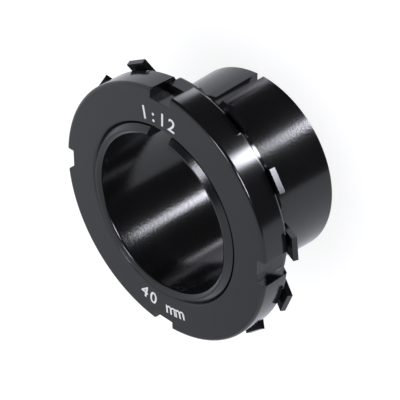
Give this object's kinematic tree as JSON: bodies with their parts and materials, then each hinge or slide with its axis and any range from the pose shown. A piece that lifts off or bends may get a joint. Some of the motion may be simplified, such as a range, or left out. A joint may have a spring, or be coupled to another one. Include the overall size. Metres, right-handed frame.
{
  "type": "bearing adapter sleeve",
  "caption": "Slit sleeve with a tapered outside and a threaded end, fitted with a slotted lock nut and a tabbed lock washer; holds a tapered-bore bearing on a plain shaft.",
  "frame": {"origin": "on the bore axis, in the plane of the end face at the large end of the taper", "axes": "+Z along the bore axis towards the lock nut, +X through the slit, the keyway and the locked tab"},
  "size_m": [0.0666, 0.0692, 0.033],
  "materials": {
    "black_steel_sleeve": "black oxide over ground steel, oiled",
    "black_steel_nut": "black oxide over turned steel, oiled",
    "black_steel_sheet": "black oxide over stamped steel sheet"
  },
  "bodies": {
    "root": {"adapter_sleeve": "black_steel_sleeve", "lock_nut": "black_steel_nut", "lock_washer": "black_steel_sheet"}
  },
  "joints": []
}
